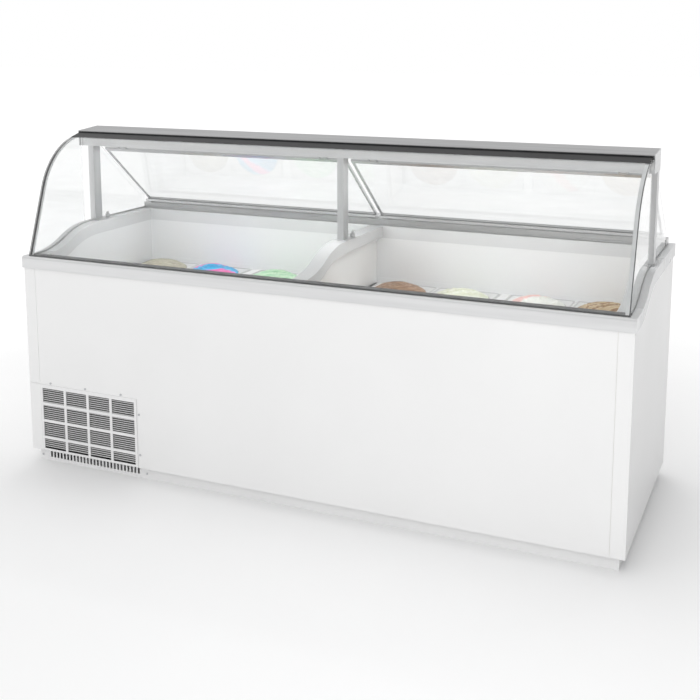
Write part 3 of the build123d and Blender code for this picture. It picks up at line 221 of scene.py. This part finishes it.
def foam():
    """Cut polyurethane foam with open cells."""
    p = Paint("cut_foam", Roughness=0.9)
    cut = p.cells(260)
    p.colour(p.ramp(p.noise(9, 5), (0.3, (0.64, 0.63, 0.58)), (0.7, (0.74, 0.73, 0.68))))
    p.rough(cut, 0.8, 0.95)
    p.bump(cut, 0.0008)
    return p.mat


def copper():
    """Bare copper tube, stained by brazing."""
    p = Paint("copper_tube", metallic=1.0)
    stain = p.noise(18, 6, distortion=1.0)
    p.colour(p.ramp(stain, (0.3, (0.30, 0.12, 0.07)), (0.5, (0.72, 0.36, 0.22)), (0.72, (0.88, 0.52, 0.36))))
    p.rough(stain, 0.45, 0.2)
    p.bump(p.noise(300, 3), 0.00005)
    return p.mat


def board():
    """Waxed paperboard with its fibres along Z."""
    p = Paint("waxed_board", Coat_Weight=0.3, Coat_Roughness=0.3)
    fibre = p.noise(120, 5, (1, 1, 0.15))
    p.colour(p.ramp(fibre, (0.3, (0.74, 0.71, 0.63)), (0.7, (0.86, 0.84, 0.78))))
    p.rough(fibre, 0.4, 0.6)
    p.bump(fibre, 0.00015)
    return p.mat


def pane(name, tint):
    """Tempered glass: the faint draw of the float line, and light that passes to what is behind it."""
    p = Paint(name, Roughness=0.0, IOR=1.5, Transmission_Weight=1.0)
    dark, light = shades(tint, 0.008)
    p.colour(p.ramp(p.noise(2.5, 2, (1, 4, 1)), (0.3, dark), (0.7, light)))
    p.bump(p.noise(2.0, 1, (1, 5, 1)), 0.0004, 0.25)
    through = p.node("ShaderNodeBsdfTransparent", Color=(0.95, 0.965, 0.96, 1))
    path = p.tree.nodes.new("ShaderNodeLightPath")
    both = p.tree.nodes.new("ShaderNodeMixShader")
    p.tree.links.new(path.outputs["Is Shadow Ray"], both.inputs[0])
    p.tree.links.new(p.shader.outputs[0], both.inputs[1])
    p.tree.links.new(through.outputs[0], both.inputs[2])
    p.tree.links.new(both.outputs[0], p.tree.nodes["Material Output"].inputs["Surface"])
    return p.mat


def frozen(name, stops, bands, twist, flecks=None, fleck_size=150.0):
    """Ice cream: ripple between the flavour's colours, soft crystals on top, and bits stirred in."""
    p = Paint(name, Subsurface_Weight=0.15, Subsurface_Radius=(0.012, 0.010, 0.008), Coat_Weight=0.12,
              Coat_Roughness=0.35)
    ripple = p.wave(bands, twist, detail=3.0, turn=(0, 0, 0.7))
    paint = p.ramp(ripple, *stops)
    paint = p.mix(p.spread(p.noise(38, 5), 0.0, 0.35), paint, (0.95, 0.94, 0.92), "SOFT_LIGHT")
    if flecks:
        bits = p.spread(p.cells(fleck_size), 1.0, 0.0, 0.16, 0.24)
        patchy = p.spread(p.noise(60, 2), 0.0, 1.0, 0.45, 0.55)
        share = p.tree.nodes.new("ShaderNodeMath")
        share.operation = "MULTIPLY"
        p.tree.links.new(bits, share.inputs[0])
        p.tree.links.new(patchy, share.inputs[1])
        paint = p.mix(share.outputs[0], paint, flecks)
    p.colour(paint)
    p.rough(p.noise(90, 4), 0.42, 0.62)
    p.bump(p.noise(70, 4, distortion=0.8), 0.0016, 0.6)
    p.bump(p.noise(650, 3), 0.0003, 0.6)
    return p.mat


# ---------------------------------------------------------------- materials on the CAD nodes
WHITE = (0.83, 0.83, 0.828)
LOOK = {
    "white_steel": coated("white_stoved_steel", WHITE),
    "liner_white": coated("white_tank_paint", (0.80, 0.805, 0.81), 0.3, 0.42),
    "white_plastic": moulded("white_moulding", (0.74, 0.74, 0.735)),
    "grey_plastic": moulded("light_grey_moulding", (0.66, 0.665, 0.67)),
    "black_plastic": moulded("black_moulding", (0.035, 0.035, 0.037), 0.35, 0.5, 0.008),
    "black_rubber": moulded("black_rubber_seal", (0.02, 0.02, 0.021), 0.5, 0.7, 0.006, 0.0001, 300),
    "black_steel": coated("black_painted_steel", (0.03, 0.03, 0.032), 0.3, 0.5, 0.008, 0.0001),
    "galvanised": galvanised(),
    "foam": foam(),
    "copper": copper(),
    "tub_board": board(),
    "glass": pane("clear_glass", (0.954, 0.960, 0.959)),
    "aluminium": extruded("satin_aluminium_x", (0.60, 0.605, 0.61), "x"),
    "ice_cream": board(),
}
ALU_Y = extruded("satin_aluminium_y", (0.62, 0.625, 0.63), "y")
ALU_Z = extruded("satin_aluminium_z", (0.60, 0.603, 0.607), "z", 0.3, 0.5)
DARK_X = extruded("brushed_rail_x", (0.54, 0.542, 0.545), "x", 0.26, 0.42)
CANOPY_X = extruded("canopy_aluminium_x", (0.47, 0.472, 0.475), "x", 0.3, 0.46)
HANDLE_X = extruded("lid_handle_x", (0.68, 0.682, 0.685), "x", 0.26, 0.42)
BEAM_X = extruded("canopy_beam_x", (0.66, 0.662, 0.665), "x", 0.3, 0.46)
CAP = coated("cap_paint", (0.66, 0.665, 0.67), 0.22, 0.34)
RAIL_X = extruded("front_rail_x", (0.74, 0.743, 0.746), "x", 0.3, 0.46, 0.03)
OWN = {
    "side_cap_left": CAP,
    "side_cap_right": CAP,
    "centre_bridge": coated("bridge_paint", (0.62, 0.625, 0.63), 0.14, 0.22),
    "centre_partition": moulded("partition_board", (0.87, 0.87, 0.865)),
    "posts": ALU_Z,
    "post_feet": ALU_Y,
    "post_knob_left": ALU_Z,
    "post_knob_centre": ALU_Z,
    "post_knob_right": ALU_Z,
    "front_rail": RAIL_X,
    "rear_rail": DARK_X,
    "lid_left_handle": HANDLE_X,
    "lid_right_handle": HANDLE_X,
    "canopy_top": CANOPY_X,
    "canopy_end_caps": ALU_Y,
    "canopy_beam": BEAM_X,
    "front_grille": grille_paint(),
    "glass_edge_strips": edge_strip(),
    "glass_gaskets": moulded("dark_grey_gasket", (0.09, 0.09, 0.092), 0.4, 0.6, 0.012),
    "end_seals": moulded("clear_grey_seal", (0.35, 0.36, 0.36), 0.3, 0.5),
    "condenser": extruded("condenser_fins", (0.30, 0.30, 0.31), "z", 0.4, 0.6),
}
slots = {}  # node name to material slot


def walk(item):
    """Each node's material slot, from the record's list of subparts."""
    if isinstance(item, dict):
        if "node" in item and "material_slot" in item:
            slots[item["node"]] = item["material_slot"]
        for value in item.values():
            walk(value)
    elif isinstance(item, list):
        for value in item:
            walk(value)


walk(frame["record"]["subparts"])
for node_name, obj in frame["nodes"].items():
    chosen = OWN.get(node_name) or LOOK[slots[node_name]]
    obj.data.materials.clear()
    obj.data.materials.append(chosen)

# ---------------------------------------------------------------- ice cream, one piece for each tub
# name, ripple colours, bands, twist, bits
FLAVOURS = (
    ("vanilla", ((0.2, (0.40, 0.37, 0.28)), (0.5, (0.53, 0.50, 0.40)), (0.8, (0.45, 0.42, 0.33))), 9, 6,
     (0.25, 0.17, 0.06)),
    ("cotton", ((0.1, (0.0, 0.30, 0.62)), (0.52, (0.03, 0.50, 0.80)), (0.72, (0.36, 0.30, 0.72)),
                (0.84, (0.88, 0.16, 0.46))), 2.6, 6, None),
    ("mint", ((0.2, (0.34, 0.62, 0.38)), (0.5, (0.57, 0.77, 0.55)), (0.8, (0.47, 0.70, 0.46))), 8, 7,
     (0.05, 0.22, 0.07)),
    ("lime", ((0.2, (0.62, 0.74, 0.59)), (0.8, (0.76, 0.83, 0.73))), 8, 5, None),
    ("chocolate", ((0.2, (0.24, 0.13, 0.07)), (0.5, (0.44, 0.28, 0.17)), (0.8, (0.32, 0.19, 0.11))), 9, 8,
     (0.07, 0.03, 0.015)),
    ("pistachio", ((0.2, (0.66, 0.68, 0.52)), (0.8, (0.76, 0.78, 0.66))), 7, 6, (0.42, 0.50, 0.20)),
    ("cherry", ((0.5, (0.76, 0.77, 0.72)), (0.76, (0.78, 0.74, 0.70)), (0.86, (0.80, 0.50, 0.47))), 2.2, 7,
     None),
    ("butterscotch", ((0.25, (0.44, 0.32, 0.18)), (0.6, (0.54, 0.43, 0.27)), (0.8, (0.25, 0.14, 0.06))), 9, 8,
     (0.24, 0.12, 0.04)),
)
COLLAR_X = (-0.798, -0.266, 0.266, 0.798)  # the collars' middles
TUB_IN = 0.124  # tub's middle from its collar's
TUB_X = [middle + side * TUB_IN for middle in COLLAR_X for side in (-1, 1)]
TUB_Y = (-0.130, 0.200)
FILL_R = 0.1165  # ice cream inside the tub
NECK_R = 0.1040  # and inside the collar's hole
FILL_LOW = 0.3745
FILL_TOP = 0.6355
RIM = 0.6500  # top of the collars
NECK_STEP = 0.0005
RINGS = 40
STEPS = 112
DOME = 0.025
RIDGE = 0.0042


def crown(x, y, seed, style):
    """Height of the ice cream's surface above the collar at a point from the tub's middle."""
    r = math.hypot(x, y) / NECK_R
    turn = math.atan2(y, x)
    dome = DOME * (1 - r ** 2.4)
    soft = 0.006 * noise.noise(Vector((x * 16, y * 16, seed)))
    fold = noise.noise(Vector((x * 26, y * 26, seed + 9)))
    if style == 0:
        wave = math.sin(3 * turn + 11 * r + 2.2 * fold)
    elif style == 1:
        wave = math.sin(x * 150 * math.cos(seed) + y * 150 * math.sin(seed) + 3.0 * fold)
    else:
        wave = math.sin(17 * r - turn + 1.6 * fold)
    ridge = RIDGE * (1 - abs(wave)) ** 0.7 * (1 - r ** 6)
    fine = 0.0011 * noise.noise(Vector((x * 110, y * 110, seed + 3)))
    return dome + soft * (1 - r ** 4) + ridge + fine


def circle(bm, r, height):
    """A ring of points at radius r, at the height that a function gives for each."""
    ring = []
    for k in range(STEPS):
        a = 2 * math.pi * k / STEPS
        x, y = r * math.cos(a), r * math.sin(a)
        ring.append(bm.verts.new((x, y, height(x, y))))
    return ring


def scoop(name, x, y, seed, style, material):
    """One tub's ice cream: a sculpted crown on a plain filling."""
    bm = bmesh.new()
    top = bm.verts.new((0, 0, RIM + crown(0, 0, seed, style)))
    rings = []
    for i in range(1, RINGS + 1):
        rings.append(circle(bm, NECK_R * i / RINGS, lambda px, py: RIM + crown(px, py, seed, style)))
    for r, z in ((NECK_R, FILL_TOP + NECK_STEP), (FILL_R, FILL_TOP), (FILL_R, FILL_LOW)):
        rings.append(circle(bm, r, lambda px, py: z))
    for k in range(STEPS):
        n = (k + 1) % STEPS
        bm.faces.new((top, rings[0][k], rings[0][n]))
        for inner, outer in zip(rings, rings[1:]):
            bm.faces.new((inner[k], outer[k], outer[n], inner[n]))
    bm.faces.new(list(reversed(rings[-1])))
    mesh = bpy.data.meshes.new(name)
    bm.to_mesh(mesh)
    bm.free()
    for polygon in mesh.polygons:
        polygon.use_smooth = abs(polygon.normal.z) > 0.2 and polygon.area < 0.01
    mesh.materials.append(material)
    obj = bpy.data.objects.new(name, mesh)
    bpy.context.scene.collection.objects.link(obj)
    obj.location = (x, y, 0)
    bpy.context.view_layer.update()
    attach(obj, "cabinet")
    return obj


for column, (flavour, stops, bands, twist, bits) in enumerate(FLAVOURS):
    look = frozen("ice_cream_" + flavour, stops, bands, twist, bits)
    for row, y in enumerate(TUB_Y):
        name = f"ice_cream_{flavour}_{row + 1}"
        seed = 1.7 * column + 5.3 * row
        scoop(name, TUB_X[column], y, seed, (column + row) % 3, look)
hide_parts("ice_cream")

# ---------------------------------------------------------------- beads, and a band of painted shade on the glass top
def piece(name, bm, material, body):
    """The mesh as a shown piece that rides on a body."""
    bmesh.ops.recalc_face_normals(bm, faces=bm.faces)
    mesh = bpy.data.meshes.new(name)
    bm.to_mesh(mesh)
    bm.free()
    mesh.materials.append(material)
    obj = bpy.data.objects.new(name, mesh)
    bpy.context.scene.collection.objects.link(obj)
    bpy.context.view_layer.update()
    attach(obj, body)
    return obj


ARC = 8  # flats in a quarter turn of the bead and in its half-round


def bead(bm, x, y, z, half_x, half_y, corner, wide, high):
    """A closed half-round bead round a rectangle with rounded corners."""
    rings = []
    for turn, (sx, sy) in enumerate(((1, 1), (-1, 1), (-1, -1), (1, -1))):
        for k in range(ARC + 1):
            a = math.pi / 2 * (turn + k / ARC)
            nx, ny = math.cos(a), math.sin(a)
            px = x + sx * (half_x - corner) + corner * nx
            py = y + sy * (half_y - corner) + corner * ny
            ring = []
            for i in range(ARC + 1):
                b = math.pi * i / ARC
                off, up = wide / 2 * math.cos(b), high * math.sin(b)
                ring.append(bm.verts.new((px + nx * off, py + ny * off, z + up)))
            rings.append(ring)
    for k, ring in enumerate(rings):
        after = rings[(k + 1) % len(rings)]
        for i in range(ARC + 1):
            n = (i + 1) % (ARC + 1)
            bm.faces.new((ring[i], ring[n], after[n], after[i]))


# the bead is a raised rib; its grey, darker than the white collars, is painted shade along the tub edges
BEAD = moulded("collar_bead_painted_shade", (0.60, 0.60, 0.60), 0.3, 0.45)
BEAD_HALF = (0.117, 0.113)
BEAD_CORNER = 0.012
BEAD_WIDE = 0.006
BEAD_HIGH = 0.0035
BEAD_SEAT = 0.6479  # just inside the collar
for number, middle in enumerate(COLLAR_X, 1):
    bm = bmesh.new()
    for dx in (-TUB_IN, TUB_IN):
        for y in TUB_Y:
            bead(bm, middle + dx, y, BEAD_SEAT, *BEAD_HALF, BEAD_CORNER, BEAD_WIDE, BEAD_HIGH)
    piece(f"collar_{number}_beads", bm, BEAD, f"collar_{number}")


def slab(bm, corners, x0, x1):
    """A closed prism along X from a side view."""
    ends = [[bm.verts.new((x, y, z)) for y, z in corners] for x in (x0, x1)]
    count = len(corners)
    for k in range(count):
        n = (k + 1) % count
        bm.faces.new((ends[0][k], ends[0][n], ends[1][n], ends[1][k]))
    bm.faces.new(ends[0])
    bm.faces.new(list(reversed(ends[1])))


GLASS_SLOPE = math.radians(15)
GLASS_TOP = (-0.0768, 1.2342)  # upper edge of the glass's outer face, in Y and Z
# a thin black band on the glass's flat top: painted shade, standing in for the dark seen through the top of
# the glass
SHADE_BAND_HALF = 1.0985
SHADE_BAND_START = 0.0005
SHADE_BAND_RUN = 0.058
SHADE_BAND_LIFT = 0.00015
SHADE_BAND_T = 0.0005


def on_glass(along_glass, above):
    """Y and Z of a point a way down the glass's flat top and a way above its face."""
    c, s = math.cos(GLASS_SLOPE), math.sin(GLASS_SLOPE)
    return GLASS_TOP[0] - along_glass * c - above * s, GLASS_TOP[1] - along_glass * s + above * c


bm = bmesh.new()
low, high = SHADE_BAND_LIFT, SHADE_BAND_LIFT + SHADE_BAND_T
band = [on_glass(s, t) for s, t in ((SHADE_BAND_START, low), (SHADE_BAND_RUN, low), (SHADE_BAND_RUN, high), (SHADE_BAND_START, high))]
slab(bm, band, -SHADE_BAND_HALF, SHADE_BAND_HALF)
# black of the painted shade band
SHADE_BLACK = (0.012, 0.012, 0.013)
SHADE_BAND_PAINT = moulded("black_painted_shade", SHADE_BLACK, 0.16, 0.26, 0.004, 0.00002, 900, Specular_IOR_Level=0.12)
piece("glass_top_painted_shade", bm, SHADE_BAND_PAINT, "cabinet")

# ---------------------------------------------------------------- floor, light and camera
bm = bmesh.new()
bmesh.ops.create_grid(bm, x_segments=24, y_segments=24, size=40)
ground = bpy.data.meshes.new("floor")
bm.to_mesh(ground)
bm.free()
floor = bpy.data.objects.new("floor", ground)
bpy.context.scene.collection.objects.link(floor)
pale = Paint("pale_floor")
away = pale.node("ShaderNodeVectorMath", Vector=pale.place)
away.operation = "LENGTH"
far = pale.spread(away.outputs["Value"], 0.0, 1.0, 1.2, 3.0)
tint = pale.ramp(pale.noise(0.7, 4), (0.3, (0.93, 0.93, 0.93)), (0.7, (0.95, 0.95, 0.95)))
pale.colour(pale.mix(far, tint, (0, 0, 0)))
pale.shader.inputs["Emission Color"].default_value = (1, 1, 1, 1)
pale.set(pale.shader.inputs["Emission Strength"], far)
pale.rough(pale.noise(3, 3), 0.55, 0.75)
pale.bump(pale.noise(90, 3), 0.0003, 0.4)
ground.materials.append(pale.mat)

world = bpy.data.worlds.new("studio")
bpy.context.scene.world = world
world.use_nodes = True
wt = world.node_tree
back = wt.nodes["Background"]
height = wt.nodes.new("ShaderNodeSeparateXYZ")
wt.links.new(wt.nodes.new("ShaderNodeTexCoord").outputs["Generated"], height.inputs[0])
tone = wt.nodes.new("ShaderNodeValToRGB")
wt.links.new(height.outputs["Z"], tone.inputs["Fac"])
bands = tone.color_ramp.elements
greys = ((0.0, 0.80), (1.0, 0.62), (0.25, 0.74))
for element, (where, grey) in zip((bands[0], bands[1], bands.new(0.5)), greys):
    element.position = where
    element.color = (grey, grey, grey * 1.005, 1)
seen = wt.nodes.new("ShaderNodeLightPath")
plain = wt.nodes.new("ShaderNodeMix")
plain.data_type = "RGBA"
clear = wt.nodes.new("ShaderNodeMath")
clear.operation = "MAXIMUM"
wt.links.new(seen.outputs["Is Camera Ray"], clear.inputs[0])
wt.links.new(seen.outputs["Is Transmission Ray"], clear.inputs[1])
wt.links.new(clear.outputs[0], plain.inputs[0])
across = wt.nodes.new("ShaderNodeMapRange")
across.inputs["To Min"].default_value = 1.0
across.inputs["To Max"].default_value = 0.42
wt.links.new(height.outputs["X"], across.inputs["Value"])
dim = wt.nodes.new("ShaderNodeVectorMath")
dim.operation = "SCALE"
wt.links.new(tone.outputs["Color"], dim.inputs[0])
wt.links.new(across.outputs["Result"], dim.inputs["Scale"])
wt.links.new(dim.outputs["Vector"], plain.inputs[6])
plain.inputs[7].default_value = (1, 1, 1, 1)
wt.links.new(plain.outputs[2], back.inputs["Color"])
back.inputs["Strength"].default_value = 1.0


def softbox(name, place, aim, size, watts):
    data = bpy.data.lights.new(name, "AREA")
    data.shape = "RECTANGLE"
    data.size, data.size_y = size
    data.energy = watts
    lamp = bpy.data.objects.new(name, data)
    bpy.context.scene.collection.objects.link(lamp)
    lamp.location = place
    lamp.visible_camera = False
    lamp.visible_glossy = False
    lamp.visible_transmission = False
    lamp.rotation_euler = (Vector(aim) - Vector(place)).to_track_quat("-Z", "Y").to_euler()


softbox("key", (-3.5, -5.5, 2.6), (0, 0, 0.5), (2.4, 2.4), 34)
softbox("top", (0.0, 1.6, 5.2), (0, 0, 0.6), (4.5, 2.4), 26)
softbox("well", (1.1, -4.2, 4.6), (0.5, 0.1, 0.7), (2.0, 2.0), 22)
for side in (-1, 1):
    softbox(f"fill_{side + 1}", (side * 0.53, -0.11, 1.12), (side * 0.53, 0.12, 0.7), (0.95, 0.08), 2.1)
softbox("front", (1.12, -2.4, 1.15), (1.12, 0, 0.95), (1.0, 0.9), 6.5)
softbox("rear", (-2.5, 5.5, 2.6), (0, 0, 0.5), (2.4, 2.0), 30)

lens = bpy.data.cameras.new("camera")
lens.sensor_width = 36.0
lens.lens = 55.03
lens.shift_y = -0.2  # less than the photograph's own, so that turned views stay in frame
lens.clip_start, lens.clip_end = 0.05, 200
camera = bpy.data.objects.new("camera", lens)
bpy.context.scene.collection.objects.link(camera)
camera.location = (1.5715, -3.5065, 1.6063)
camera.rotation_euler = (math.pi / 2 - 0.1610, 0, 0.4143)
bpy.context.scene.camera = camera
bpy.context.scene.view_settings.view_transform = "Standard"
bpy.context.scene.view_settings.look = "None"

bpy.context.view_layer.update()
